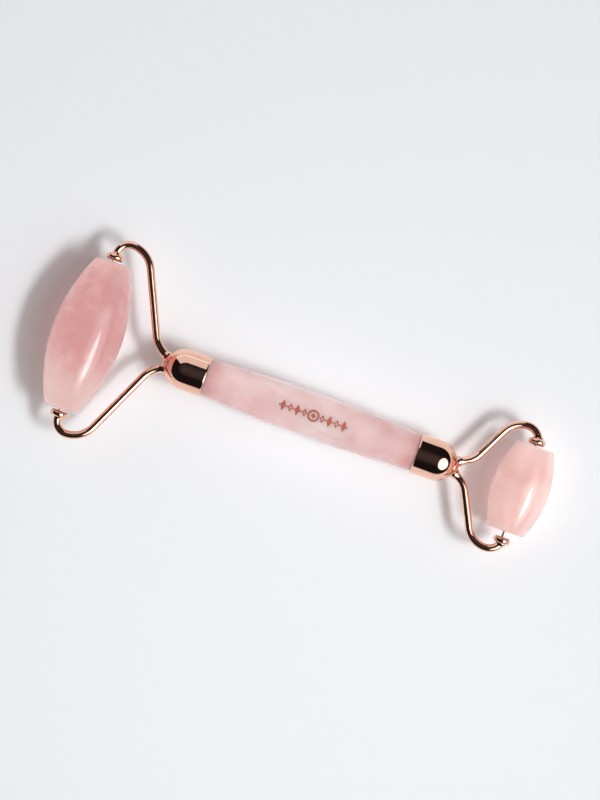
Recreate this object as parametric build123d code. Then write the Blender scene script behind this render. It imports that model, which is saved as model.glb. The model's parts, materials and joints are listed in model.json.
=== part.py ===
"""Double-ended stone face roller.

A stone handle has a metal ferrule on each end. Each ferrule carries a yoke of two bent
wires, and a barrel-shaped stone turns between the wires' ends: a large roller at one end
and a small one at the other.

The pieces are drawn in a drawing frame: X runs along the handle from the large roller to
the small one, Y is the way of the rollers' axes and Z is up, with every axis at Z = 0.
The finished pieces are then laid on the table, resting on both rollers.
"""
import os
from dataclasses import dataclass
from math import asin, cos, degrees, radians, sin, sqrt

from build123d import *

# ---------------------------------------------------------------- driving dimensions, mm
AXIS_SPACING = 128.7  # from the large roller's axis to the small roller's

# Handle stone: a gentle barrel with a plain tenon at each end
HANDLE_MIDDLE_RADIUS = 6.5
HANDLE_END_RADIUS = 5.2
TENON_RADIUS = 5.12
TENON_EDGE = 0.4

# Ferrule: a thin cap with a straight skirt and a domed nose cut off square
FERRULE_RADIUS = 5.75
FERRULE_WALL = 0.55
FERRULE_LIP = 0.45
SKIRT_LENGTH = 7.0
DOME_LENGTH = 5.0  # the whole dome, had it not been cut off
NOSE_RADIUS = 2.9  # where the dome is cut off

# Collar: a short flange on the ferrule's nose, with a stub through the nose
COLLAR_RADIUS = 2.8
COLLAR_THICKNESS = 1.25
COLLAR_BEVEL = 1.0
STUB_RADIUS = 2.0
STUB_LENGTH = 2.1
WIRE_SOCKET_DEPTH = 0.8

# Stud and insert: they hold the collar, and so the yoke, to the handle stone
STUD_RADIUS = 1.5
STUD_DEPTH_IN_COLLAR = 2.0
STUD_CHAMFER = 0.3
INSERT_RADIUS = 2.5
INSERT_LENGTH = 8.0
INSERT_GROOVE_WIDTH = 0.8
INSERT_GROOVE_DEPTH = 0.35
INSERT_GROOVES = 3
STUD_SHORT_OF_INSERT = 1.2

# Wire arms
WIRE_RADIUS = 1.13
ROOT_OFFSET = 1.95  # a wire's centre from the handle's axis, at the collar's face

# Pivots: disc and pin on the wire's end, nylon bush in the roller stone
DISC_RADIUS = 2.5
DISC_THICKNESS = 1.95
DISC_ROUND = 0.9
PIN_RADIUS = 0.6
PIN_DEPTH_IN_WIRE = 0.6
PIN_SHORT_OF_BUSH = 0.8
PIN_TIP_CHAMFER = 0.15
BUSH_RADIUS = 2.0
BUSH_LENGTH = 8.0

RUNNING_CLEARANCE = 0.05  # radial, pin in bush
FIXED_CLEARANCE = 0.02  # radial, for the film of glue or braze

SIDES = {"left": 1, "right": -1}  # left is the +Y side


@dataclass
class End:
    """One end of the tool. Distances along X run from this end's roller axis.

    The wires are bent by hand, so three of their sizes differ from side to side.
    """

    name: str
    axis_x: float  # the roller's axis in the drawing frame
    towards_handle: int  # +1 where the handle lies on the +X side of the axis
    roller_radius: float
    roller_end_radius: float
    roller_length: float
    roller_edge_round: float
    roller_shift: float  # where the roller has come to rest along its axis
    disc_inner_face: dict  # from the handle's axis, on each side
    apex: dict  # the wire's greatest distance from the handle's axis, on each side
    hook_radius: dict  # from the disc up to the apex, on each side
    shoulder_radius: float  # from the apex down into the slope
    slope_angle: float  # of the wire's straight slope to the handle's axis
    throat_radius: float  # where the slope eases into the collar
    root_angle: float  # of the wire to the handle's axis, where it meets the collar
    collar_face: float
    ferrule_mouth: float

    def disc_outer_face(self, side):
        return self.disc_inner_face[side] + DISC_THICKNESS


LARGE = End(
    name="large",
    axis_x=0.0,
    towards_handle=1,
    roller_radius=10.0,
    roller_end_radius=4.75,
    roller_length=43.75,
    roller_edge_round=2.0,
    roller_shift=-0.375,
    disc_inner_face={"left": 21.9, "right": 22.65},
    apex={"left": 27.65, "right": 28.3},
    hook_radius={"left": 3.5, "right": 3.5},
    shoulder_radius=7.55,
    slope_angle=65.2,
    throat_radius=8.5,
    root_angle=27.0,
    collar_face=22.7,
    ferrule_mouth=35.3,
)

SMALL = End(
    name="small",
    axis_x=AXIS_SPACING,
    towards_handle=-1,
    roller_radius=8.2,
    roller_end_radius=5.3,
    roller_length=25.2,
    roller_edge_round=0.6,
    roller_shift=0.45,
    disc_inner_face={"left": 13.45, "right": 13.9},
    apex={"left": 17.85, "right": 18.4},
    hook_radius={"left": 4.05, "right": 4.25},
    shoulder_radius=6.7,
    slope_angle=63.4,
    throat_radius=7.0,
    root_angle=27.0,
    collar_face=18.5,
    ferrule_mouth=31.1,
)


# ---------------------------------------------------------------- shared geometry
def arc_radius(half_length, sagitta):
    """Radius of the arc that bulges by `sagitta` over twice `half_length`."""
    return (half_length**2 + sagitta**2) / (2 * sagitta)


def place(end, along_x, shape):
    """Move a piece drawn about local Z, looking into the handle, to its place at one end."""
    station = Plane(
        origin=(end.axis_x + end.towards_handle * along_x, 0, 0),
        x_dir=(0, 1, 0),
        z_dir=(end.towards_handle, 0, 0),
    )
    return station * shape


def on_pivot(end, side, along_y, shape):
    """Move a piece drawn about local Z, looking outwards, to one side of the roller's axis."""
    station = Plane(
        origin=(end.axis_x, SIDES[side] * along_y, 0),
        x_dir=(1, 0, 0),
        z_dir=(0, SIDES[side], 0),
    )
    return station * shape


def rod(radius, start, finish):
    """Cylinder about local Z between two heights."""
    return Pos(0, 0, start) * Cylinder(
        radius, finish - start, align=(Align.CENTER, Align.CENTER, Align.MIN)
    )


def turned(outline):
    """Solid of revolution about local Z of a closed outline in the XZ plane."""
    return revolve(make_face(outline), Axis.Z)


# ---------------------------------------------------------------- handle
def handle_stone():
    """Barrel between the ferrule mouths, tenons inside them, a blind bore in each end."""
    low = LARGE.axis_x + LARGE.ferrule_mouth
    high = SMALL.axis_x - SMALL.ferrule_mouth
    middle = (low + high) / 2
    profile = Plane.XY * (
        Line((low - SKIRT_LENGTH, 0), (low - SKIRT_LENGTH, TENON_RADIUS))
        + Line((low - SKIRT_LENGTH, TENON_RADIUS), (low, TENON_RADIUS))
        + Line((low, TENON_RADIUS), (low, HANDLE_END_RADIUS))
        + ThreePointArc(
            (low, HANDLE_END_RADIUS),
            (middle, HANDLE_MIDDLE_RADIUS),
            (high, HANDLE_END_RADIUS),
        )
        + Line((high, HANDLE_END_RADIUS), (high, TENON_RADIUS))
        + Line((high, TENON_RADIUS), (high + SKIRT_LENGTH, TENON_RADIUS))
        + Line((high + SKIRT_LENGTH, TENON_RADIUS), (high + SKIRT_LENGTH, 0))
        + Line((high + SKIRT_LENGTH, 0), (low - SKIRT_LENGTH, 0))
    )
    stone = revolve(make_face(profile), Axis.X)
    tenon_rims = stone.edges().filter_by(GeomType.CIRCLE).sort_by(Axis.X)
    stone = chamfer([tenon_rims[0], tenon_rims[-1]], TENON_EDGE)
    for end in (LARGE, SMALL):
        tenon_face = end.ferrule_mouth - SKIRT_LENGTH
        bore = rod(INSERT_RADIUS + FIXED_CLEARANCE, -1, INSERT_LENGTH)
        stone -= place(end, tenon_face, bore)
    return stone


# ---------------------------------------------------------------- ferrule and yoke root
def domed_plug(radius, dome_length):
    """Cylinder down from local Z = 0 for the skirt's length, closed by half an ellipsoid."""
    outline = (
        Line((0, 0), (radius, 0))
        + Line((radius, 0), (radius, -SKIRT_LENGTH))
        + EllipticalCenterArc(
            (0, -SKIRT_LENGTH), radius, dome_length, start_angle=270, arc_size=90
        )
        + Line((0, -SKIRT_LENGTH - dome_length), (0, 0))
    )
    return turned(Plane.XZ * outline)


def ferrule(end):
    """Thin cap with its mouth at local Z = 0 and its nose, cut off square, below."""
    nose = -SKIRT_LENGTH - DOME_LENGTH * sqrt(1 - (NOSE_RADIUS / FERRULE_RADIUS) ** 2)
    cap = domed_plug(FERRULE_RADIUS, DOME_LENGTH)
    cap -= rod(FERRULE_RADIUS, nose - DOME_LENGTH, nose)
    mouth_rim = cap.edges().filter_by(GeomType.CIRCLE).sort_by(Axis.Z)[-1]
    cap = fillet(mouth_rim, FERRULE_LIP)
    cap -= domed_plug(FERRULE_RADIUS - FERRULE_WALL, DOME_LENGTH - FERRULE_WALL)
    cap -= rod(STUB_RADIUS + FIXED_CLEARANCE, nose - DOME_LENGTH, 0)
    return place(end, end.ferrule_mouth, cap)


def collar(end, arms):
    """Flange with its face at local Z = 0, a stub, a stud bore and the wires' sockets."""
    back = COLLAR_THICKNESS + STUB_LENGTH
    flange = rod(COLLAR_RADIUS, 0, COLLAR_THICKNESS)
    front_rim = flange.edges().filter_by(GeomType.CIRCLE).sort_by(Axis.Z)[0]
    piece = chamfer(front_rim, COLLAR_BEVEL) + rod(STUB_RADIUS, COLLAR_THICKNESS, back)
    piece -= rod(STUD_RADIUS + FIXED_CLEARANCE, back - STUD_DEPTH_IN_COLLAR, back)
    piece = place(end, end.collar_face, piece)
    for wire in arms:
        piece -= wire
    return piece


def stud(end):
    """Threaded rod from the bottom of the collar's bore to near the insert's far end."""
    tenon_face = end.ferrule_mouth - SKIRT_LENGTH
    start = end.collar_face + COLLAR_THICKNESS + STUB_LENGTH - STUD_DEPTH_IN_COLLAR
    finish = tenon_face + INSERT_LENGTH - STUD_SHORT_OF_INSERT
    piece = rod(STUD_RADIUS, 0, finish - start)
    piece = chamfer(piece.edges().filter_by(GeomType.CIRCLE), STUD_CHAMFER)
    return place(end, start, piece)


def insert(end):
    """Threaded sleeve in the handle's bore, grooved so that the glue holds it."""
    piece = rod(INSERT_RADIUS, 0, INSERT_LENGTH)
    pitch = INSERT_LENGTH / (INSERT_GROOVES + 1)
    for number in range(1, INSERT_GROOVES + 1):
        low = number * pitch - INSERT_GROOVE_WIDTH / 2
        high = low + INSERT_GROOVE_WIDTH
        piece -= rod(INSERT_RADIUS, low, high) - rod(
            INSERT_RADIUS - INSERT_GROOVE_DEPTH, low, high
        )
    piece -= rod(STUD_RADIUS + FIXED_CLEARANCE, 0, INSERT_LENGTH)
    return place(end, end.ferrule_mouth - SKIRT_LENGTH, piece)


# ---------------------------------------------------------------- wire arms
def arm(end, side):
    """One bent wire: hook, shoulder, slope and throat, each tangent to the next.

    It is drawn with local X towards the handle and local Y outwards. The lengths of the
    slope and of the straight root are whatever brings the wire's centre to ROOT_OFFSET
    at the collar's face.
    """
    apex, hook_radius = end.apex[side], end.hook_radius[side]
    foot_face = end.disc_outer_face(side)
    slope, root = radians(end.slope_angle), radians(end.root_angle)
    lean = asin(1 - (apex - foot_face) / hook_radius)
    across = (
        end.collar_face
        - hook_radius * cos(lean)
        - end.shoulder_radius * sin(slope)
        - end.throat_radius * (sin(slope) - sin(root))
    )
    down = (
        apex
        - ROOT_OFFSET
        - end.shoulder_radius * (1 - cos(slope))
        - end.throat_radius * (cos(root) - cos(slope))
    )
    slope_length = (down * cos(root) - across * sin(root)) / sin(slope - root)
    root_length = (across * sin(slope) - down * cos(slope)) / sin(slope - root)
    spare = 2 * WIRE_RADIUS  # cut away again at both ends

    outwards = Vector(sin(lean), cos(lean))
    foot = Vector(0, foot_face)
    tail = Line(foot - outwards * spare, foot)
    hook = JernArc(tail @ 1, tail % 1, hook_radius, degrees(lean) - 90)
    shoulder = JernArc(hook @ 1, hook % 1, end.shoulder_radius, -end.slope_angle)
    straight = Line(shoulder @ 1, (shoulder @ 1) + (shoulder % 1) * slope_length)
    throat = JernArc(
        straight @ 1, straight % 1, end.throat_radius, end.slope_angle - end.root_angle
    )
    run_in = Line(throat @ 1, (throat @ 1) + (throat % 1) * (root_length + spare))
    path = tail + hook + shoulder + straight + throat + run_in
    wire = sweep((path ^ 0) * Circle(WIRE_RADIUS), path=path)

    beyond_foot = Pos(0, foot_face) * Box(
        4 * spare, 2 * spare, 4 * spare, align=(Align.CENTER, Align.MAX, Align.CENTER)
    )
    beyond_root = Pos(end.collar_face + WIRE_SOCKET_DEPTH) * Box(
        2 * spare, 4 * spare, 4 * spare, align=(Align.MIN, Align.CENTER, Align.CENTER)
    )
    frame = Plane(
        origin=(end.axis_x, 0, 0),
        x_dir=(end.towards_handle, 0, 0),
        z_dir=(0, 0, end.towards_handle * SIDES[side]),
    )
    wire = frame * (wire - beyond_foot - beyond_root)
    pin_socket = rod(PIN_RADIUS + FIXED_CLEARANCE, 0, PIN_DEPTH_IN_WIRE)
    return wire - on_pivot(end, side, foot_face, pin_socket)


# ---------------------------------------------------------------- pivots and rollers
def disc(end, side):
    """Thrust disc with a rounded rim, between the wire's end and the roller."""
    piece = rod(DISC_RADIUS, 0, DISC_THICKNESS)
    piece = fillet(piece.edges().filter_by(GeomType.CIRCLE), DISC_ROUND)
    piece -= rod(PIN_RADIUS + FIXED_CLEARANCE, 0, DISC_THICKNESS)
    return on_pivot(end, side, end.disc_inner_face[side], piece)


def pin(end, side):
    """Pivot pin from inside the bush, through the disc, into the wire's end."""
    start = end.roller_length / 2 - BUSH_LENGTH + PIN_SHORT_OF_BUSH
    finish = end.disc_outer_face(side) + PIN_DEPTH_IN_WIRE
    piece = rod(PIN_RADIUS, 0, finish - start)
    tip = piece.edges().filter_by(GeomType.CIRCLE).sort_by(Axis.Z)[0]
    return on_pivot(end, side, start, chamfer(tip, PIN_TIP_CHAMFER))


def bush(end, side):
    """Sleeve in the roller stone's end, in which the pin runs."""
    mouth = end.roller_length / 2 + SIDES[side] * end.roller_shift
    piece = rod(BUSH_RADIUS, -BUSH_LENGTH, 0)
    piece -= rod(PIN_RADIUS + RUNNING_CLEARANCE, -BUSH_LENGTH, 0)
    return on_pivot(end, side, mouth, piece)


def roller_stone(end):
    """Barrel with an arc for its side, rounded rims and a blind bore in each end."""
    half = end.roller_length / 2
    outline = (
        Line((0, -half), (end.roller_end_radius, -half))
        + ThreePointArc(
            (end.roller_end_radius, -half),
            (end.roller_radius, 0),
            (end.roller_end_radius, half),
        )
        + Line((end.roller_end_radius, half), (0, half))
        + Line((0, half), (0, -half))
    )
    piece = turned(Plane.XZ * outline)
    rims = piece.edges().filter_by(GeomType.CIRCLE).sort_by(Axis.Z)
    piece = fillet([rims[0], rims[-1]], end.roller_edge_round)
    bore_radius = BUSH_RADIUS + FIXED_CLEARANCE
    piece -= rod(bore_radius, half - BUSH_LENGTH, half)
    piece -= rod(bore_radius, -half, BUSH_LENGTH - half)
    return on_pivot(end, "left", end.roller_shift, piece)


# ---------------------------------------------------------------- the whole tool
def pieces():
    """Every piece by name, in the drawing frame."""
    named = {"handle_stone": handle_stone()}
    for end in (LARGE, SMALL):
        arms = {side: arm(end, side) for side in SIDES}
        named[f"{end.name}_ferrule"] = ferrule(end)
        named[f"{end.name}_collar"] = collar(end, arms.values())
        named[f"{end.name}_stud"] = stud(end)
        named[f"{end.name}_insert"] = insert(end)
        named[f"{end.name}_roller_stone"] = roller_stone(end)
        for side in SIDES:
            named[f"{end.name}_arm_{side}"] = arms[side]
            named[f"{end.name}_disc_{side}"] = disc(end, side)
            named[f"{end.name}_pin_{side}"] = pin(end, side)
            named[f"{end.name}_bush_{side}"] = bush(end, side)
    return named


def at_rest():
    """The drawing frame laid so that both rollers touch Z = 0, centred on the footprint."""
    tip = asin((LARGE.roller_radius - SMALL.roller_radius) / AXIS_SPACING)
    reach = AXIS_SPACING * cos(tip)
    large_axis_x = (LARGE.roller_radius - SMALL.roller_radius - reach) / 2
    handle_y = (LARGE.apex["right"] - LARGE.apex["left"]) / 2
    print(f"large roller axis: x {large_axis_x:.4f}, z {LARGE.roller_radius:.4f}")
    print(f"small roller axis: x {large_axis_x + reach:.4f}, z {SMALL.roller_radius:.4f}")
    print(f"handle's axis: y {handle_y:.4f}, slope {degrees(tip):.4f} degrees")
    return Pos(large_axis_x, handle_y, LARGE.roller_radius) * Rot(0, degrees(tip), 0)


os.makedirs("parts", exist_ok=True)
rest = at_rest()
for name, piece in pieces().items():
    export_step(rest * piece, f"parts/{name}.step")
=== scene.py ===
"""Rose-quartz face roller: the visible pieces, their materials and the studio.

Every piece is built in metres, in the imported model's own frame, from the axes that the
joints give and from the sizes below, which are in millimetres.
"""
import json
from dataclasses import dataclass
from math import asin, atan2, ceil, cos, degrees, exp, pi, radians, sin, sqrt, tan

import bmesh
import bpy
from mathutils import Matrix, Vector, noise


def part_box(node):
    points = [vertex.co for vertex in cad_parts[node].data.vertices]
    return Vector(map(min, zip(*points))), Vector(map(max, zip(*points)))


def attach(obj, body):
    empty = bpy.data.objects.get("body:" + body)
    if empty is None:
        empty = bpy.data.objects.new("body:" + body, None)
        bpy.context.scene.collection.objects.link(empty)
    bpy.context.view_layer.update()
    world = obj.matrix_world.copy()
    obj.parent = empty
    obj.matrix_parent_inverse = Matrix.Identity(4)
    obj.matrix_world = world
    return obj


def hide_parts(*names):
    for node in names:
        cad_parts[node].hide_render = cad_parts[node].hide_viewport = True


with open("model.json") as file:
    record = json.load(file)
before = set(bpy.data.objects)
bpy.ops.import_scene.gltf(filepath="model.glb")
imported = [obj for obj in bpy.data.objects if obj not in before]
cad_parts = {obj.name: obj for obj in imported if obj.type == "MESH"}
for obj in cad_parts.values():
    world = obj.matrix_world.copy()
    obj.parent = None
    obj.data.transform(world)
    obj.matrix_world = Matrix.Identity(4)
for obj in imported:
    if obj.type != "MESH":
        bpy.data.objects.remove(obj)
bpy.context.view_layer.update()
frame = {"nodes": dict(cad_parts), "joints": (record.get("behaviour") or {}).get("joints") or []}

MM = 0.001

# ------------------------------------------------------------------ sizes, mm
WIRE_RADIUS = 1.13
ROOT_OFFSET = 1.95
WIRE_SOCKET_DEPTH = 0.8
WIRE_FOOT_SINK = 0.6
WIRE_UNEVENNESS = 0.012
FOOT_FILLET = 0.32
FOOT_FILLET_REACH = 0.3
ROOT_FILLET = 0.38
ROOT_FILLET_REACH = 0.45
FERRULE_RADIUS = 5.75
FERRULE_WALL = 0.55
FERRULE_LIP = 0.45
FERRULE_DENT = 0.014
SKIRT_LENGTH = 6.3
DOME_LENGTH = 5.81
NOSE_RADIUS = 2.9
NOSE_EDGE_ROUND = 0.12
COLLAR_RADIUS = 2.8
COLLAR_THICKNESS = 1.25
COLLAR_BEVEL = 1.0
STUB_RADIUS = 2.0
STUB_LENGTH = 2.1
DISC_RADIUS = 2.5
DISC_THICKNESS = 1.95
PIN_RADIUS = 0.6
PIN_CHAMFER = 0.15
BUSH_RADIUS = 2.0
BUSH_LENGTH = 8.0
HANDLE_MIDDLE_RADIUS = 6.5
HANDLE_END_RADIUS = 5.2
TENON_RADIUS = 5.12
TENON_LENGTH = 7.0
TENON_CHAMFER = 0.4
FIT_GAP = 0.02
SIDES = {"left": 1, "right": -1}


@dataclass
class End:
    """One end of the tool, measured from its roller's axis.

    The wires are bent by hand, so three of their sizes differ from side to side.
    """

    name: str
    roller_end_radius: float
    roller_edge_round: float
    disc_inner_face: dict
    apex: dict
    hook_radius: dict
    shoulder_radius: float
    slope_angle: float
    throat_radius: float
    root_angle: float
    collar_face: float
    ferrule_mouth: float
    axes: Matrix = None  # X towards the handle, Y along the roller, Z up

    def disc_outer_face(self, side):
        return self.disc_inner_face[side] + DISC_THICKNESS


LARGE = End(
    name="large",
    roller_end_radius=4.75,
    roller_edge_round=2.0,
    disc_inner_face={"left": 21.9, "right": 22.65},
    apex={"left": 27.65, "right": 28.3},
    hook_radius={"left": 3.5, "right": 3.5},
    shoulder_radius=7.55,
    slope_angle=65.2,
    throat_radius=8.5,
    root_angle=27.0,
    collar_face=22.7,
    ferrule_mouth=35.3,
)
SMALL = End(
    name="small",
    roller_end_radius=5.3,
    roller_edge_round=0.6,
    disc_inner_face={"left": 13.45, "right": 13.9},
    apex={"left": 17.85, "right": 18.4},
    hook_radius={"left": 4.05, "right": 4.25},
    shoulder_radius=6.7,
    slope_angle=63.4,
    throat_radius=7.0,
    root_angle=27.0,
    collar_face=18.5,
    ferrule_mouth=31.1,
)


# ------------------------------------------------------------------ places from the frame
def axes(origin, x_way, y_way, z_way):
    """4x4 matrix from an origin in metres and three directions."""
    made = Matrix.Identity(4)
    for column, way in enumerate((x_way, y_way, z_way)):
        for row in range(3):
            made[row][column] = way[row]
    made.translation = origin
    return made


pivots = {joint["name"]: Vector(joint["pos_m"]) for joint in frame["joints"]}
large_axis, small_axis = pivots["large_roller_spin"], pivots["small_roller_spin"]
ALONG = (small_axis - large_axis).normalized()
ACROSS = Vector((0, 1, 0))
UP = ALONG.cross(ACROSS)
LARGE.axes = axes(large_axis, ALONG, ACROSS, UP)
SMALL.axes = axes(small_axis, -ALONG, ACROSS, UP)


def on_roller_axis(end, along_y=0.0, outwards=1):
    """Axes with Z along the roller's axis, for pieces turned about it."""
    origin = end.axes @ Vector((0, along_y * MM, 0))
    return axes(origin, ALONG, UP * outwards, ACROSS * outwards)


def on_handle_axis(end, along_x):
    """Axes with Z along the handle's axis, pointing into the handle."""
    origin = end.axes @ Vector((along_x * MM, 0, 0))
    into_handle = end.axes.col[0].xyz
    return axes(origin, ACROSS, UP, into_handle)


HANDLE_SPAN = (small_axis - large_axis).length / MM - LARGE.ferrule_mouth - SMALL.ferrule_mouth
HANDLE_SAG = HANDLE_MIDDLE_RADIUS - HANDLE_END_RADIUS
HANDLE_ARC = ((HANDLE_SPAN / 2) ** 2 + HANDLE_SAG**2) / (2 * HANDLE_SAG)
HANDLE_PLACE = on_handle_axis(LARGE, LARGE.ferrule_mouth + HANDLE_SPAN / 2)


# ------------------------------------------------------------------ mesh building
def finished(name, bm, place, material, sharp=35.0):
    """Turns a bmesh drawn in mm into a smooth-shaded object in the frame."""
    bmesh.ops.remove_doubles(bm, verts=bm.verts, dist=1e-4)
    bmesh.ops.recalc_face_normals(bm, faces=bm.faces)
    mesh = bpy.data.meshes.new(name)
    bm.to_mesh(mesh)
    bm.free()
    mesh.transform(place @ Matrix.Scale(MM, 4))
    if place.determinant() < 0:
        mesh.flip_normals()
    mesh.polygons.foreach_set("use_smooth", [True] * len(mesh.polygons))
    mesh.set_sharp_from_angle(angle=radians(sharp))
    mesh.materials.append(material)
    made = bpy.data.objects.new(name, mesh)
    bpy.context.scene.collection.objects.link(made)
    return made


def bridge(bm, rings, closed_ends=True):
    """Quads between successive rings of vertices, and a face or fan on each end."""
    for low, high in zip(rings, rings[1:]):
        count = max(len(low), len(high))
        for i in range(count):
            j = (i + 1) % count
            if len(low) == 1:
                bm.faces.new((low[0], high[i], high[j]))
            elif len(high) == 1:
                bm.faces.new((low[i], low[j], high[0]))
            else:
                bm.faces.new((low[i], low[j], high[j], high[i]))
    if closed_ends:
        for ring in (rings[0], rings[-1]):
            if len(ring) > 2:
                bm.faces.new(ring)


def turned_ring(bm, radius, height, sides, shape=None):
    """Vertices round Z at one height, or one vertex where the radius is nothing.

    shape(angle, radius, height) may change the radius from place to place.
    """
    if radius < 1e-6:
        return [bm.verts.new((0, 0, height))]
    ring = []
    for i in range(sides):
        angle = 2 * pi * i / sides
        r = shape(angle, radius, height) if shape else radius
        ring.append(bm.verts.new((r * cos(angle), r * sin(angle), height)))
    return ring


def lathe(outline, sides, shape=None):
    """A bmesh turned about Z from (radius, height) points that start and end on the axis."""
    bm = bmesh.new()
    rings = [turned_ring(bm, radius, height, sides, shape) for radius, height in outline]
    bridge(bm, rings, closed_ends=False)
    return bm


def arc(centre_r, centre_z, radius, start, finish, steps):
    """Points on an arc, angles in degrees from the +radius direction."""
    points = []
    for i in range(steps + 1):
        angle = radians(start + (finish - start) * i / steps)
        points.append((centre_r + radius * cos(angle), centre_z + radius * sin(angle)))
    return points


def evenly(a, b, steps):
    """Points on a straight line from a to b, without the last."""
    return [
        (a[0] + (b[0] - a[0]) * i / steps, a[1] + (b[1] - a[1]) * i / steps)
        for i in range(steps)
    ]


# ------------------------------------------------------------------ material building
class Graph:
    """One material's node tree, with positions read in mm from the object's own space."""

    def __init__(self, name):
        self.material = bpy.data.materials.new(name)
        self.material.use_nodes = True
        self.tree = self.material.node_tree
        self.tree.nodes.clear()
        self.shader = self.add("ShaderNodeBsdfPrincipled")
        output = self.add("ShaderNodeOutputMaterial")
        self.tree.links.new(self.shader.outputs[0], output.inputs["Surface"])
        self.object_space = self.add("ShaderNodeTexCoord").outputs["Object"]

    def add(self, kind, inputs=None, **settings):
        made = self.tree.nodes.new(kind)
        for key, value in settings.items():
            setattr(made, key, value)
        self.feed(made, inputs or {})
        return made

    def feed(self, to, inputs):
        """Links sockets, and sets anything else as the input's own value."""
        for key, value in inputs.items():
            if isinstance(value, bpy.types.NodeSocket):
                self.tree.links.new(value, to.inputs[key])
            else:
                to.inputs[key].default_value = value

    def position(self, shift=(0, 0, 0), stretch=(1, 1, 1)):
        scale = tuple(1000 * s for s in stretch)
        return self.add(
            "ShaderNodeMapping",
            {"Vector": self.object_space, "Location": shift, "Scale": scale},
        ).outputs[0]

    def noise(self, size, detail=3.0, rough=0.55, twist=0.0, shift=(0, 0, 0), stretch=(1, 1, 1)):
        """Cloudy value about 0.5, with features about `size` mm across."""
        return self.add(
            "ShaderNodeTexNoise",
            {
                "Vector": self.position(shift, stretch),
                "Scale": 1 / size,
                "Detail": detail,
                "Roughness": rough,
                "Distortion": twist,
            },
        ).outputs["Fac"]

    def spots(self, size, shift):
        """Distance in cells from scattered points about `size` mm apart."""
        return self.add(
            "ShaderNodeTexVoronoi",
            {"Vector": self.position(shift), "Scale": 1 / size},
        ).outputs["Distance"]

    def spread(self, value, low, high, to_low=0.0, to_high=1.0):
        """Maps low..high to to_low..to_high, smoothly and clamped."""
        return self.add(
            "ShaderNodeMapRange",
            {0: value, 1: low, 2: high, 3: to_low, 4: to_high},
            interpolation_type="SMOOTHSTEP",
        ).outputs[0]

    def math(self, operation, a, b=0.0):
        return self.add("ShaderNodeMath", {0: a, 1: b}, operation=operation).outputs[0]

    def mix(self, factor, a, b):
        """Colour between a and b."""
        return self.add("ShaderNodeMix", {0: factor, 6: a, 7: b}, data_type="RGBA").outputs[2]

    def coordinate(self, letter):
        """One coordinate of the place, in mm."""
        split = self.add("ShaderNodeSeparateXYZ", {0: self.position()})
        return split.outputs[letter]

    def bump(self, height, depth_mm, strength, onto=None):
        inputs = {"Height": height, "Distance": depth_mm * MM, "Strength": strength}
        if onto is not None:
            inputs["Normal"] = onto
        return self.add("ShaderNodeBump", inputs).outputs[0]


def colour(red, green, blue):
    return (red, green, blue, 1.0)


INCLUSION = colour(0.95, 0.84, 0.81)
MILK = colour(0.88, 0.77, 0.75)


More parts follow.
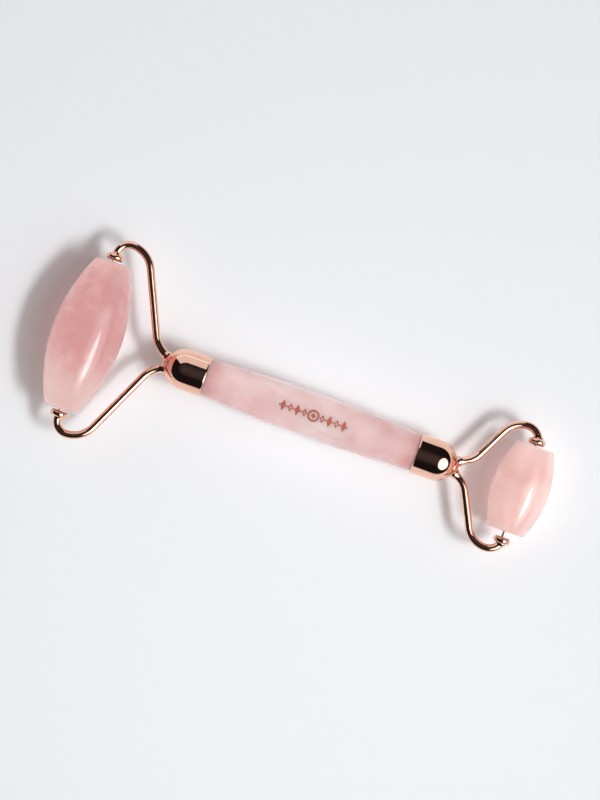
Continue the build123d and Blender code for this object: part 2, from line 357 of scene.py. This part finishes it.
def rose_quartz(name, deep, pale, seed, zoned=False, shaded_at_caps=False):
    """Milky pink stone: slow clouds, soft veils, a few faint cracks and specks, polished.

    A zoned stone is pinkest across its middle, and palest towards its -Y end. A stone shaded at
    its caps is paler in its middle and darker pink into the ferrules, which is painted shade and
    painted reflection of the metal caps.
    """
    graph = Graph(name)
    place = (seed * 17.3, seed * 5.1, seed * 29.7)
    drift = graph.noise(13.0, 1.5, 0.45, 0.6, place)
    cloud = graph.noise(5.5, 2.5, 0.5, 0.7, place, (1.0, 0.7, 1.0))
    pinkness = graph.spread(drift, 0.34, 0.66)
    if zoned:
        wander = graph.math("MULTIPLY", graph.math("SUBTRACT", drift, 0.5), 8.0)
        along = graph.math("ADD", graph.coordinate("Y"), wander)
        inside = graph.spread(along, -20.0, -1.0, 0.0, 1.0)
        thinner = graph.spread(along, 12.0, 22.0, 1.0, 0.5)
        pinkness = graph.math("MULTIPLY", inside, thinner)
    if shaded_at_caps:
        middle = (HANDLE_PLACE.translation / MM).x
        away = graph.math("ABSOLUTE", graph.math("SUBTRACT", graph.coordinate("X"), middle))
        pinkness = graph.math("MULTIPLY", pinkness, 0.35)
        pinkness = graph.math("ADD", pinkness, graph.spread(away, 6.0, 20.0, -0.1, 0.3))
        # painted shade and painted reflection of the metal caps: darker pink over the last 6 mm
        # before each ferrule mouth
        painted_cap_shade = graph.spread(away, HANDLE_SPAN / 2 - 6.0, HANDLE_SPAN / 2, 0.0, 0.65)
        pinkness = graph.math("ADD", pinkness, painted_cap_shade)
    swing = 0.13 if shaded_at_caps else 0.20
    clouded = graph.spread(cloud, 0.30, 0.72, -swing, swing)
    pinkness = graph.math("ADD", pinkness, clouded)
    pinkness.node.use_clamp = True
    body = graph.mix(pinkness, pale, deep)

    streaks = graph.noise(4.5, 2.0, 0.5, 0.5, place, (0.3, 1.0, 0.8))
    milky = graph.spread(streaks, 0.54, 0.80, 0.0, 0.20)
    body = graph.mix(milky, body, MILK)

    cracks = graph.noise(9.0, 2.0, 0.5, 1.2, (place[2], place[0], place[1]))
    line = graph.math("ABSOLUTE", graph.math("SUBTRACT", cracks, 0.47))
    where = graph.spread(graph.noise(6.0, 2.0, shift=place), 0.60, 0.72)
    thin = graph.math("MULTIPLY", graph.spread(line, 0.0, 0.007, 0.14, 0.0), where)
    body = graph.mix(thin, body, INCLUSION)

    speck = graph.spread(graph.spots(4.6, place), 0.03, 0.07, 0.20, 0.0)
    body = graph.mix(speck, body, INCLUSION)

    buffed = graph.noise(6.0, 3.0, shift=place)
    pits = graph.noise(0.5, 3.0, 0.6, shift=place)
    roughness = graph.spread(buffed, 0.3, 0.7, 0.13, 0.20)
    skin = graph.bump(pits, 0.004, 0.3)
    skin = graph.bump(graph.noise(2.6, 2.0, shift=place), 0.015, 0.5, skin)
    graph.feed(
        graph.shader,
        {
            "Base Color": body,
            "Roughness": roughness,
            "IOR": 1.545,
            "Subsurface Weight": 1.0,
            "Subsurface Radius": (1.0, 0.55, 0.48),
            "Subsurface Scale": 0.0045,
            "Sheen Weight": 0.25,
            "Sheen Roughness": 0.35,
            "Sheen Tint": colour(1.0, 0.86, 0.85),
            "Normal": skin,
        },
    )
    return graph.material


def rose_gold(name, tint, dull, polish):
    """Plated and polished metal: faint smears, hairline scratches and a little orange peel."""
    graph = Graph(name)
    smear = graph.noise(3.5, 4.0, 0.6, 1.0)
    tone = graph.mix(graph.spread(smear, 0.35, 0.75), tint, dull)
    hairs = graph.noise(1.1, 2.0, 0.5, 0.3, stretch=(0.25, 6.0, 6.0))
    cross_hairs = graph.noise(1.3, 2.0, 0.5, 0.4, (3, 1, 2), (5.0, 0.3, 4.0))
    along, across = graph.spread(hairs, 0.66, 0.74), graph.spread(cross_hairs, 0.68, 0.75)
    scratches = graph.math("MAXIMUM", along, across)
    smooth = graph.spread(smear, 0.3, 0.8, polish, polish * 2.2)
    roughness = graph.math("ADD", smooth, graph.math("MULTIPLY", scratches, 0.07))
    peel = graph.bump(graph.noise(1.6, 2.0), 0.006, 0.5)
    peel = graph.bump(scratches, -0.0015, 0.6, peel)
    graph.feed(
        graph.shader,
        {"Base Color": tone, "Metallic": 1.0, "Roughness": roughness, "Normal": peel},
    )
    return graph.material


def turned_metal(name, tint, dull):
    """Hidden hardware: fine turning lines round the handle's axis."""
    graph = Graph(name)
    lines = graph.noise(0.35, 2.0, 0.5, stretch=(1.0, 0.12, 0.12))
    tone = graph.mix(graph.noise(2.0, 3.0), tint, dull)
    graph.feed(
        graph.shader,
        {
            "Base Color": tone,
            "Metallic": 1.0,
            "Roughness": graph.spread(lines, 0.3, 0.7, 0.22, 0.42),
            "Normal": graph.bump(lines, 0.01, 0.6),
        },
    )
    return graph.material


def nylon(name):
    """Natural white nylon with a fine moulded grain."""
    graph = Graph(name)
    tone = graph.mix(graph.noise(1.8, 3.0), colour(0.83, 0.80, 0.73), colour(0.74, 0.70, 0.62))
    grain = graph.noise(0.15, 2.0)
    graph.feed(
        graph.shader,
        {
            "Base Color": tone,
            "Roughness": graph.spread(grain, 0.3, 0.7, 0.42, 0.58),
            "Subsurface Weight": 0.3,
            "Subsurface Scale": 0.0008,
            "Normal": graph.bump(grain, 0.01, 0.5),
        },
    )
    return graph.material


def foil(name):
    """Hot-stamped copper-red foil, uneven in tone and slightly crazed."""
    graph = Graph(name)
    tone = graph.mix(graph.noise(1.2, 4.0), colour(0.60, 0.17, 0.10), colour(0.46, 0.11, 0.07))
    craze = graph.noise(0.25, 4.0, 0.7, 1.0)
    graph.feed(
        graph.shader,
        {
            "Base Color": tone,
            "Metallic": 0.35,
            "Roughness": graph.spread(craze, 0.3, 0.7, 0.28, 0.5),
            "Normal": graph.bump(craze, 0.006, 0.6),
        },
    )
    return graph.material


HANDLE_QUARTZ = rose_quartz(
    "handle_quartz", colour(0.61, 0.34, 0.33), colour(0.74, 0.58, 0.57), 4, shaded_at_caps=True
)
LARGE_QUARTZ = rose_quartz(
    "large_roller_quartz", colour(0.61, 0.315, 0.305), colour(0.70, 0.49, 0.46), 2, zoned=True
)
SMALL_QUARTZ = rose_quartz(
    "small_roller_quartz", colour(0.765, 0.49, 0.455), colour(0.82, 0.58, 0.54), 3
)
PLATED = rose_gold("rose_gold", colour(0.95, 0.60, 0.46), colour(0.90, 0.53, 0.39), 0.05)
PLATED_WIRE = rose_gold("rose_gold_wire", colour(0.95, 0.59, 0.45), colour(0.88, 0.50, 0.37), 0.06)
PLATED_DISC = rose_gold("rose_gold_disc", colour(0.94, 0.58, 0.44), colour(0.88, 0.50, 0.37), 0.07)
PLATED_PIN = rose_gold("rose_gold_pin", colour(0.92, 0.68, 0.61), colour(0.86, 0.60, 0.53), 0.24)
PLATED_BRAZE = rose_gold("rose_gold_braze", colour(0.92, 0.53, 0.40), colour(0.84, 0.44, 0.33), 0.10)
STEEL = turned_metal("steel", colour(0.62, 0.61, 0.60), colour(0.50, 0.49, 0.48))
BRASS = turned_metal("brass", colour(0.78, 0.58, 0.28), colour(0.62, 0.43, 0.20))
NYLON = nylon("nylon")
FOIL = foil("copper_foil")


# ------------------------------------------------------------------ stones
def barrel_side(half, middle, end_radius, edge_round, steps, edge_steps):
    """(radius, height) points of a barrel's side, with a rounded edge at each end."""
    sag = middle - end_radius
    big = (half**2 + sag**2) / (2 * sag)
    big_centre = middle - big
    high = half - edge_round
    edge_centre = big_centre + sqrt((big - edge_round) ** 2 - high**2)
    meet = degrees(atan2(high, edge_centre - big_centre))
    lower = arc(edge_centre, -high, edge_round, -90, -meet, edge_steps)
    side = arc(big_centre, 0, big, -meet, meet, steps)
    upper = arc(edge_centre, high, edge_round, meet, 90, edge_steps)
    return lower[:-1] + side + upper[1:]


def hand_ground(seed, flats, share, unevenness):
    """Shape of a hand-ground stone: shallow lengthwise flats and a slow unevenness.

    The drilled bore and its mouth stay round.
    """
    round_within = BUSH_RADIUS + 0.8

    def shape(angle, radius, height):
        if radius < round_within:
            return radius
        around = Vector((cos(angle), sin(angle), height * 0.03))
        wander = 0.1 * noise.noise(around * 1.3 + Vector((seed, 0, 0)))
        phase = ((angle + wander) * flats / (2 * pi)) % 1 - 0.5
        polygon = cos(pi / flats) / cos(2 * pi / flats * phase)
        worn = share * (0.6 + 0.8 * noise.noise(around * 2.0 + Vector((0, seed, 0))))
        swell_place = Vector((around.x * 1.2, around.y * 1.2, height * 0.09 + seed))
        swell = unevenness * noise.noise(swell_place)
        return radius * (1 - worn * (1 - polygon)) + swell

    return shape


def roller_stone(end, body, quartz, seed):
    low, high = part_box(f"{end.name}_roller_stone")
    size = (high - low) / MM
    half, middle = size.y / 2, size.x / 2
    bore, bore_end = BUSH_RADIUS + FIT_GAP, half - BUSH_LENGTH
    side = barrel_side(half, middle, end.roller_end_radius, end.roller_edge_round, 110, 8)
    outline = (
        [(0, -bore_end), (bore, -bore_end), (bore, -half)]
        + side
        + [(bore, half), (bore, bore_end), (0, bore_end)]
    )
    bm = lathe(outline, 216, hand_ground(seed, 27, 0.2, 0.04))
    middle_y = (low.y + high.y) / 2 - end.axes.translation.y
    place = on_roller_axis(end, middle_y / MM)
    made = finished(f"{end.name}_quartz_roller", bm, place, quartz)
    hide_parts(f"{end.name}_roller_stone")
    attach(made, body)


def handle_radius(height):
    """Radius of the handle stone, height mm from its middle."""
    return HANDLE_MIDDLE_RADIUS - HANDLE_ARC + sqrt(HANDLE_ARC**2 - height**2)


def handle_stone():
    half, steps = HANDLE_SPAN / 2, 150
    end, shoulder = half + TENON_LENGTH, half + FIT_GAP
    heights = [half * (2 * i / steps - 1) for i in range(steps + 1)]
    side = [(handle_radius(height), height) for height in heights]
    upper = [
        (TENON_RADIUS, shoulder),
        (TENON_RADIUS, end - TENON_CHAMFER),
        (TENON_RADIUS - TENON_CHAMFER, end),
        (0, end),
    ]
    lower = [(radius, -height) for radius, height in reversed(upper)]
    outline = lower + side + upper
    ground = hand_ground(5, 25, 0.3, 0.05)
    ground_within, most_swell = half - 0.01, 0.03

    def shape(angle, radius, height):
        if abs(height) > ground_within:
            return radius
        return min(ground(angle, radius, height), radius + most_swell)

    made = finished("quartz_handle", lathe(outline, 200, shape), HANDLE_PLACE, HANDLE_QUARTZ)
    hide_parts("handle_stone")
    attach(made, "handle")


# ------------------------------------------------------------------ metal fittings
def soften(points, index, reach, steps=5):
    """Replaces one corner of an outline by a smooth curve that starts `reach` mm away."""
    before, corner, after = (Vector(points[index + i]) for i in (-1, 0, 1))
    start = corner + (before - corner).normalized() * reach
    finish = corner + (after - corner).normalized() * reach
    curve = []
    for i in range(steps + 1):
        t = i / steps
        curve.append(tuple(start * (1 - t) ** 2 + corner * 2 * t * (1 - t) + finish * t**2))
    return points[:index] + curve + points[index + 1 :]


def half_ellipse(radius, length, from_radius, steps):
    """Dome points from a given radius at the nose out to the full radius."""
    first = asin(from_radius / radius)
    points = []
    for i in range(steps + 1):
        angle = first + (pi / 2 - first) * i / steps
        points.append((radius * sin(angle), -SKIRT_LENGTH - length * cos(angle)))
    return points


def ferrule(end):
    """Drawn cap with its mouth at height 0 and its nose below."""
    inner = FERRULE_RADIUS - FERRULE_WALL
    bore = STUB_RADIUS + FIT_GAP
    outside = half_ellipse(FERRULE_RADIUS, DOME_LENGTH, NOSE_RADIUS, 40)
    nose = outside[0][1]
    skirt = evenly((FERRULE_RADIUS, -SKIRT_LENGTH), (FERRULE_RADIUS, -FERRULE_LIP), 24)[1:]
    lip = arc(FERRULE_RADIUS - FERRULE_LIP, -FERRULE_LIP, FERRULE_LIP, 0, 90, 8)
    inside = half_ellipse(inner, DOME_LENGTH - FERRULE_WALL, bore, 16)
    inside.reverse()
    outline = [(bore, nose)] + outside + skirt + lip + [(inner, 0)] + inside
    outline = soften(outline, 1, NOSE_EDGE_ROUND)

    def shape(angle, radius, height):
        if radius <= inner + 0.1:
            return radius
        place = Vector((cos(angle), sin(angle), height * 0.25))
        return radius + FERRULE_DENT * noise.noise(place * 1.1 + Vector((end.ferrule_mouth, 0, 0)))

    bm = bmesh.new()
    rings = [turned_ring(bm, radius, height, 144, shape) for radius, height in outline]
    bridge(bm, rings + rings[:1], closed_ends=False)
    made = finished(f"{end.name}_cap", bm, on_handle_axis(end, end.ferrule_mouth), PLATED)
    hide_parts(f"{end.name}_ferrule")
    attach(made, "handle")


def collar(end):
    """Nose piece that the wires are brazed into, with its stub."""
    back = COLLAR_THICKNESS + STUB_LENGTH
    outline = [
        (0, 0),
        (COLLAR_RADIUS - COLLAR_BEVEL, 0),
        (COLLAR_RADIUS, COLLAR_BEVEL),
        (COLLAR_RADIUS, COLLAR_THICKNESS),
        (STUB_RADIUS, COLLAR_THICKNESS),
        (STUB_RADIUS, back),
        (0, back),
    ]
    for corner, reach in ((3, 0.1), (2, 0.14), (1, 0.4)):  # from the back, so the numbers hold
        outline = soften(outline, corner, reach)
    place = on_handle_axis(end, end.collar_face)
    made = finished(f"{end.name}_nose", lathe(outline, 96), place, PLATED_BRAZE)
    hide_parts(f"{end.name}_collar")
    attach(made, "handle")


def wire_route(end, side, sink_foot, sink_root, step=0.22):
    """(distance from the foot, place, heading) along one wire, local X to the handle."""
    apex, hook_radius = end.apex[side], end.hook_radius[side]
    foot_face = end.disc_outer_face(side)
    slope, root = radians(end.slope_angle), radians(end.root_angle)
    lean = asin(1 - (apex - foot_face) / hook_radius)
    across = (
        end.collar_face
        - hook_radius * cos(lean)
        - end.shoulder_radius * sin(slope)
        - end.throat_radius * (sin(slope) - sin(root))
    )
    down = (
        apex
        - ROOT_OFFSET
        - end.shoulder_radius * (1 - cos(slope))
        - end.throat_radius * (cos(root) - cos(slope))
    )
    slope_length = (down * cos(root) - across * sin(root)) / sin(slope - root)
    root_length = (across * sin(slope) - down * cos(slope)) / sin(slope - root)
    moves = [  # length and turn of each straight or arc
        (sink_foot, 0),
        (hook_radius * (pi / 2 - lean), lean - pi / 2),
        (end.shoulder_radius * slope, -slope),
        (slope_length, 0),
        (end.throat_radius * (slope - root), slope - root),
        (root_length + sink_root / cos(root), 0),
    ]
    heading = pi / 2 - lean
    place = Vector((0, foot_face)) - Vector((cos(heading), sin(heading))) * sink_foot
    distance = -sink_foot
    route = [(distance, place.copy(), heading)]
    for length, turn in moves:
        count = max(1, ceil(length / step))
        bend, run = turn / count, length / count
        chord = run * (sin(bend / 2) / (bend / 2) if bend else 1)
        for _ in range(count):
            middle = heading + bend / 2
            place = place + Vector((cos(middle), sin(middle))) * chord
            heading += bend
            distance += run
            route.append((distance, place.copy(), heading))
    return route


def wire_arm(end, side):
    """Bent wire with a small fillet of braze at its foot and at its root."""
    bm, rings, sides = bmesh.new(), [], 32
    route = wire_route(end, side, WIRE_FOOT_SINK, WIRE_SOCKET_DEPTH)
    face_distance = route[-1][0] - WIRE_SOCKET_DEPTH / cos(radians(end.root_angle))
    for distance, place, heading in route:
        foot_fillet = FOOT_FILLET * exp(-max(distance, 0) / FOOT_FILLET_REACH)
        root_fillet = ROOT_FILLET * exp(-max(face_distance - distance, 0) / ROOT_FILLET_REACH)
        along = Vector((distance * 0.35, end.collar_face, SIDES[side]))
        drawn = WIRE_UNEVENNESS * noise.noise(along)
        radius = WIRE_RADIUS + drawn + foot_fillet + root_fillet
        across = Vector((-sin(heading), cos(heading)))
        ring = []
        for i in range(sides):
            angle = 2 * pi * i / sides
            flat = place + across * radius * cos(angle)
            ring.append(bm.verts.new((flat.x, flat.y * SIDES[side], radius * sin(angle))))
        rings.append(ring)
    bridge(bm, rings)
    made = finished(f"{end.name}_wire_{side}", bm, end.axes, PLATED_WIRE, 50)
    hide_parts(f"{end.name}_arm_{side}")
    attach(made, "handle")


def thrust_disc(end, side):
    """Disc with a fully rounded rim."""
    half = DISC_THICKNESS / 2
    rim = DISC_RADIUS - half
    outline = [(0, 0), (rim * 0.5, 0)] + arc(rim, half, half, -90, 90, 20)
    outline += [(rim * 0.5, DISC_THICKNESS), (0, DISC_THICKNESS)]
    place = on_roller_axis(end, SIDES[side] * end.disc_inner_face[side], SIDES[side])
    made = finished(f"{end.name}_washer_{side}", lathe(outline, 72), place, PLATED_DISC)
    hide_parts(f"{end.name}_disc_{side}")
    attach(made, "handle")


def pivot_pin(end, side):
    low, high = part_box(f"{end.name}_pin_{side}")
    length = (high.y - low.y) / MM
    axis_y = end.axes.translation.y
    start = min(abs(low.y - axis_y), abs(high.y - axis_y)) / MM
    outline = [(0, 0), (PIN_RADIUS - PIN_CHAMFER, 0), (PIN_RADIUS, PIN_CHAMFER)]
    outline += [(PIN_RADIUS, length * i / 6) for i in range(1, 7)] + [(0, length)]
    place = on_roller_axis(end, SIDES[side] * start, SIDES[side])
    made = finished(f"{end.name}_pivot_{side}", lathe(outline, 40), place, PLATED_PIN)
    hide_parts(f"{end.name}_pin_{side}")
    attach(made, "handle")


# ------------------------------------------------------------------ foil ornament
FOIL_LIFT = 0.045
FOIL_SINK = -0.06
FOIL_MIDDLE = 0.6  # along the handle from its middle, towards the small roller
MOTIF_PITCH = 2.1


def wrapped(along, around, lift):
    """A place on the handle's upper side, in the handle's own axes (Z along it)."""
    radius = handle_radius(along) + lift
    angle = pi / 2 + around / radius
    return Vector((radius * cos(angle), radius * sin(angle), along))


def foil_mark(bm, along, around, reach, hole=0.0):
    """One flat mark laid on the handle, reach(angle) mm from its middle to its edge.

    hole is the share of that reach which is left open in the middle.
    """
    sides, steps = 32, 3
    shares = [hole + (1 - hole) * i / steps for i in range(steps + 1)]
    profile = [(share, FOIL_SINK) for share in shares]
    profile += [(share, FOIL_LIFT) for share in reversed(shares)]
    rings = []
    for share, lift in profile:
        if share == 0:
            rings.append([bm.verts.new(wrapped(along, around, lift))])
            continue
        ring = []
        for i in range(sides):
            angle = 2 * pi * i / sides
            out = share * reach(angle)
            place = wrapped(along + out * cos(angle), around + out * sin(angle), lift)
            ring.append(bm.verts.new(place))
        rings.append(ring)
    bridge(bm, rings + (rings[:1] if hole else []), closed_ends=False)


def lozenge(half_length, half_width):
    return lambda angle: 1 / (abs(cos(angle)) / half_length + abs(sin(angle)) / half_width)


def dot(radius):
    return lambda angle: radius


def ornament():
    """A plain row of lozenges, rings and dots where the handle is decorated."""
    bm = bmesh.new()
    foil_mark(bm, FOIL_MIDDLE, 0, dot(1.75), 0.66)
    foil_mark(bm, FOIL_MIDDLE, 0, lozenge(0.75, 0.75))
    for hand in (-1, 1):
        for number in range(1, 5):
            along = FOIL_MIDDLE + hand * MOTIF_PITCH * (number + 0.25)
            if number % 2:
                foil_mark(bm, along, 0, lozenge(0.75, 1.2), 0.45)
            else:
                foil_mark(bm, along, 0, lozenge(0.75, 1.7))
            foil_mark(bm, along + hand * MOTIF_PITCH / 2, 0, dot(0.24))
    made = finished("foil_ornament", bm, HANDLE_PLACE, FOIL)
    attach(made, "handle")


# ------------------------------------------------------------------ the whole tool
STONES = ("large_quartz_roller", "small_quartz_roller", "quartz_handle", "foil_ornament")
roller_stone(LARGE, "large_roller", LARGE_QUARTZ, 11)
roller_stone(SMALL, "small_roller", SMALL_QUARTZ, 23)
handle_stone()
ornament()
for end in (LARGE, SMALL):
    ferrule(end)
    collar(end)
    for side in SIDES:
        wire_arm(end, side)
        thrust_disc(end, side)
        pivot_pin(end, side)
        frame["nodes"][f"{end.name}_bush_{side}"].data.materials[0] = NYLON
    frame["nodes"][f"{end.name}_stud"].data.materials[0] = STEEL
    frame["nodes"][f"{end.name}_insert"].data.materials[0] = BRASS

# ------------------------------------------------------------------ studio
VIEW_TURN = 19.87  # degrees between the handle and the bottom of the picture
VIEW_WIDTH = 224.0  # mm of the table along the picture's long side
VIEW_CENTRE = (-1.3, 3.2, 9.1)  # mm
LENS = 135.0
SENSOR = 36.0


def camera():
    data = bpy.data.cameras.new("camera")
    data.lens = LENS
    data.sensor_width = SENSOR
    data.clip_end = 20
    made = bpy.data.objects.new("camera", data)
    distance = VIEW_WIDTH * LENS / SENSOR
    x, y, z = VIEW_CENTRE
    made.location = Vector((x, y, z + distance)) * MM
    made.rotation_euler = (0, 0, radians(VIEW_TURN))
    bpy.context.scene.collection.objects.link(made)
    bpy.context.scene.camera = made


def floor():
    bm = bmesh.new()
    bmesh.ops.create_grid(bm, x_segments=8, y_segments=8, size=2500)
    graph = Graph("pale_floor")
    graph.feed(
        graph.shader,
        {"Base Color": colour(0.90, 0.905, 0.915), "Roughness": 0.85, "Specular IOR Level": 0.2},
    )
    made = finished("floor", bm, Matrix.Identity(4), graph.material)
    return made


def towards(along, across):
    """Direction from the tool, in degrees from the vertical along +X and along +Y."""
    return Vector((tan(radians(along)), tan(radians(across)), 1)).normalized()


KEY_WAY = towards(41, -6)
SIDE_CARD_WAY = Vector((-0.397, 0.722, 0.566))
FAR, NEAR = 3.0, 0.8  # metres from the tool
COOL = (0.955, 0.985, 1.0)


def group(name, members):
    made = bpy.data.collections.new(name)
    for member in members:
        made.objects.link(member)
    return made


def hang(name, data, way, distance, seen_by, lit=None, upright=False, through=None):
    """Puts a light in the scene, facing the tool, or standing upright like a wall.

    lit, if given, is the collection of the only things that it lights, and through the
    collection of the only things that can shade it.
    """
    made = bpy.data.objects.new(name, data)
    facing = Vector((way.x, way.y, 0)).normalized() if upright else way
    width_way = Vector((-way.y, way.x, 0)) if upright else ACROSS - way * ACROSS.dot(way)
    width_way.normalize()
    made.matrix_world = axes(way * distance, width_way, facing.cross(width_way), facing)
    made.visible_camera = False
    made.visible_diffuse = "matt" in seen_by
    made.visible_glossy = "shiny" in seen_by
    if lit:
        made.light_linking.receiver_collection = lit
    if through:
        made.light_linking.blocker_collection = through
    bpy.context.scene.collection.objects.link(made)
    return made


def softbox(
    name,
    way,
    distance,
    half_angles,
    radiance,
    seen_by,
    shape="ELLIPSE",
    tint=(1, 1, 1),
    **hung,
):
    """Area light of given half angles across and along, with a brightness per unit area."""
    data = bpy.data.lights.new(name, "AREA")
    data.shape = shape
    data.color = tint
    data.size, data.size_y = (2 * distance * tan(radians(angle)) for angle in half_angles)
    area = data.size * data.size_y * (pi / 4 if shape == "ELLIPSE" else 1)
    data.energy = radiance * pi * area
    hang(name, data, way, distance, seen_by, **hung)


def overhead_fill(lit):
    """Faint spot from above that lifts the shadows and fades towards the picture's corners."""
    reach = 0.27
    data = bpy.data.lights.new("overhead_fill", "SPOT")
    data.energy = 70.0
    data.color = (1.0, 0.93, 0.90)
    data.shadow_soft_size = 0.18
    data.use_shadow = False
    data.spot_blend = 1.0
    data.spot_size = 2 * atan2(reach, FAR)
    made = hang("overhead_fill", data, Vector((0, 0, 1)), FAR, ("matt",), lit)
    aim = Vector((0.01, -0.065, 0))
    made.rotation_euler = (made.location - aim).to_track_quat("Z", "Y").to_euler()


def shine_through(end, radiance, tint, lit):
    """Pink light from the key that comes out of a roller's far side and falls in its shadow.

    It leaves from a panel inside the roller, a little past the middle as the key sees it,
    over four fifths of the roller's length and half its thickness.
    """
    low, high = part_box(f"{end.name}_roller_stone")
    size = high - low
    data = bpy.data.lights.new(f"{end.name}_shine_through", "AREA")
    data.shape = "RECTANGLE"
    data.size, data.size_y = 0.8 * size.y, 0.5 * size.x
    data.color = tint
    data.energy = radiance * pi * data.size * data.size_y
    made = hang(data.name, data, KEY_WAY, 0.0, ("matt",), lit, through=lit)
    made.location = end.axes.translation - ALONG * size.x * 0.2


def surroundings():
    """A dark room above, and pale walls low down round the table."""
    world = bpy.data.worlds.new("studio")
    bpy.context.scene.world = world
    world.use_nodes = True
    nodes, links = world.node_tree.nodes, world.node_tree.links
    way = nodes.new("ShaderNodeTexCoord")
    split = nodes.new("ShaderNodeSeparateXYZ")
    ramp = nodes.new("ShaderNodeValToRGB")
    links.new(way.outputs["Generated"], split.inputs[0])
    links.new(split.outputs["Z"], ramp.inputs[0])
    stops = ramp.color_ramp.elements
    stops[0].position, stops[0].color = 0.10, (0.85, 0.85, 0.86, 1)
    stops[1].position, stops[1].color = 0.14, (0.010, 0.008, 0.013, 1)
    for position, level in ((0.80, 0.010), (1.0, 0.05)):
        stops.new(position).color = (level, level * 0.9, level, 1)
    links.new(ramp.outputs[0], nodes["Background"].inputs["Color"])


def key_light():
    """One big soft light at the right. Its parts shade and shine in different sizes.

    They hang a little apart, because a light in the same plane would hide another.
    """
    softbox("key_glow", KEY_WAY, FAR, (31, 25), 1.87, ("matt",), tint=COOL)
    softbox("key_sheen", towards(41, -10), FAR + 0.01, (31, 27), 2.08, ("shiny",), tint=COOL)
    softbox("key_core", towards(38, -5), FAR, (10, 4), 48.0, ("matt",), tint=COOL)
    softbox("key_shine", towards(40, -17), FAR + 0.02, (18, 8), 10.0, ("shiny",))


def side_lights():
    """White card that the fittings mirror, and a weak wall light from the same side."""
    softbox(
        "side_card", SIDE_CARD_WAY, 0.906, (24.7, 27.1), 0.8, ("shiny",), "RECTANGLE", upright=True
    )
    softbox("side_wall", towards(-60, 40), NEAR, (30, 26), 0.42, ("matt",))


def stone_lights(stones, handle):
    """Glow inside the translucent stones, which nothing else receives."""
    for name, way, radiance, lit in (
        ("glow_through", towards(-65, 0), 3.6, stones),
        ("left_glow", towards(0, 65), 0.95, stones),
        ("right_glow", towards(0, -65), 0.8, stones),
        ("handle_left_glow", towards(0, 75), 0.42, handle),
        ("handle_right_glow", towards(0, -75), 0.32, handle),
    ):
        softbox(name, way, NEAR, (25, 25), radiance, ("matt",), lit=lit)
    below = Vector((0, 0, -1))
    softbox("under_glow", below, NEAR, (30, 30), 0.5, ("matt",), lit=stones, through=stones)


camera()
surroundings()
table = group("table", [floor()])
key_light()
side_lights()
stone_lights(
    group("stones", [bpy.data.objects[name] for name in STONES]),
    group("handle_only", [bpy.data.objects["quartz_handle"]]),
)
overhead_fill(table)
shine_through(LARGE, 0.18, (1.0, 0.25, 0.20), table)
shine_through(SMALL, 0.65, (1.0, 0.40, 0.38), table)
bpy.context.scene.view_settings.view_transform = "Standard"
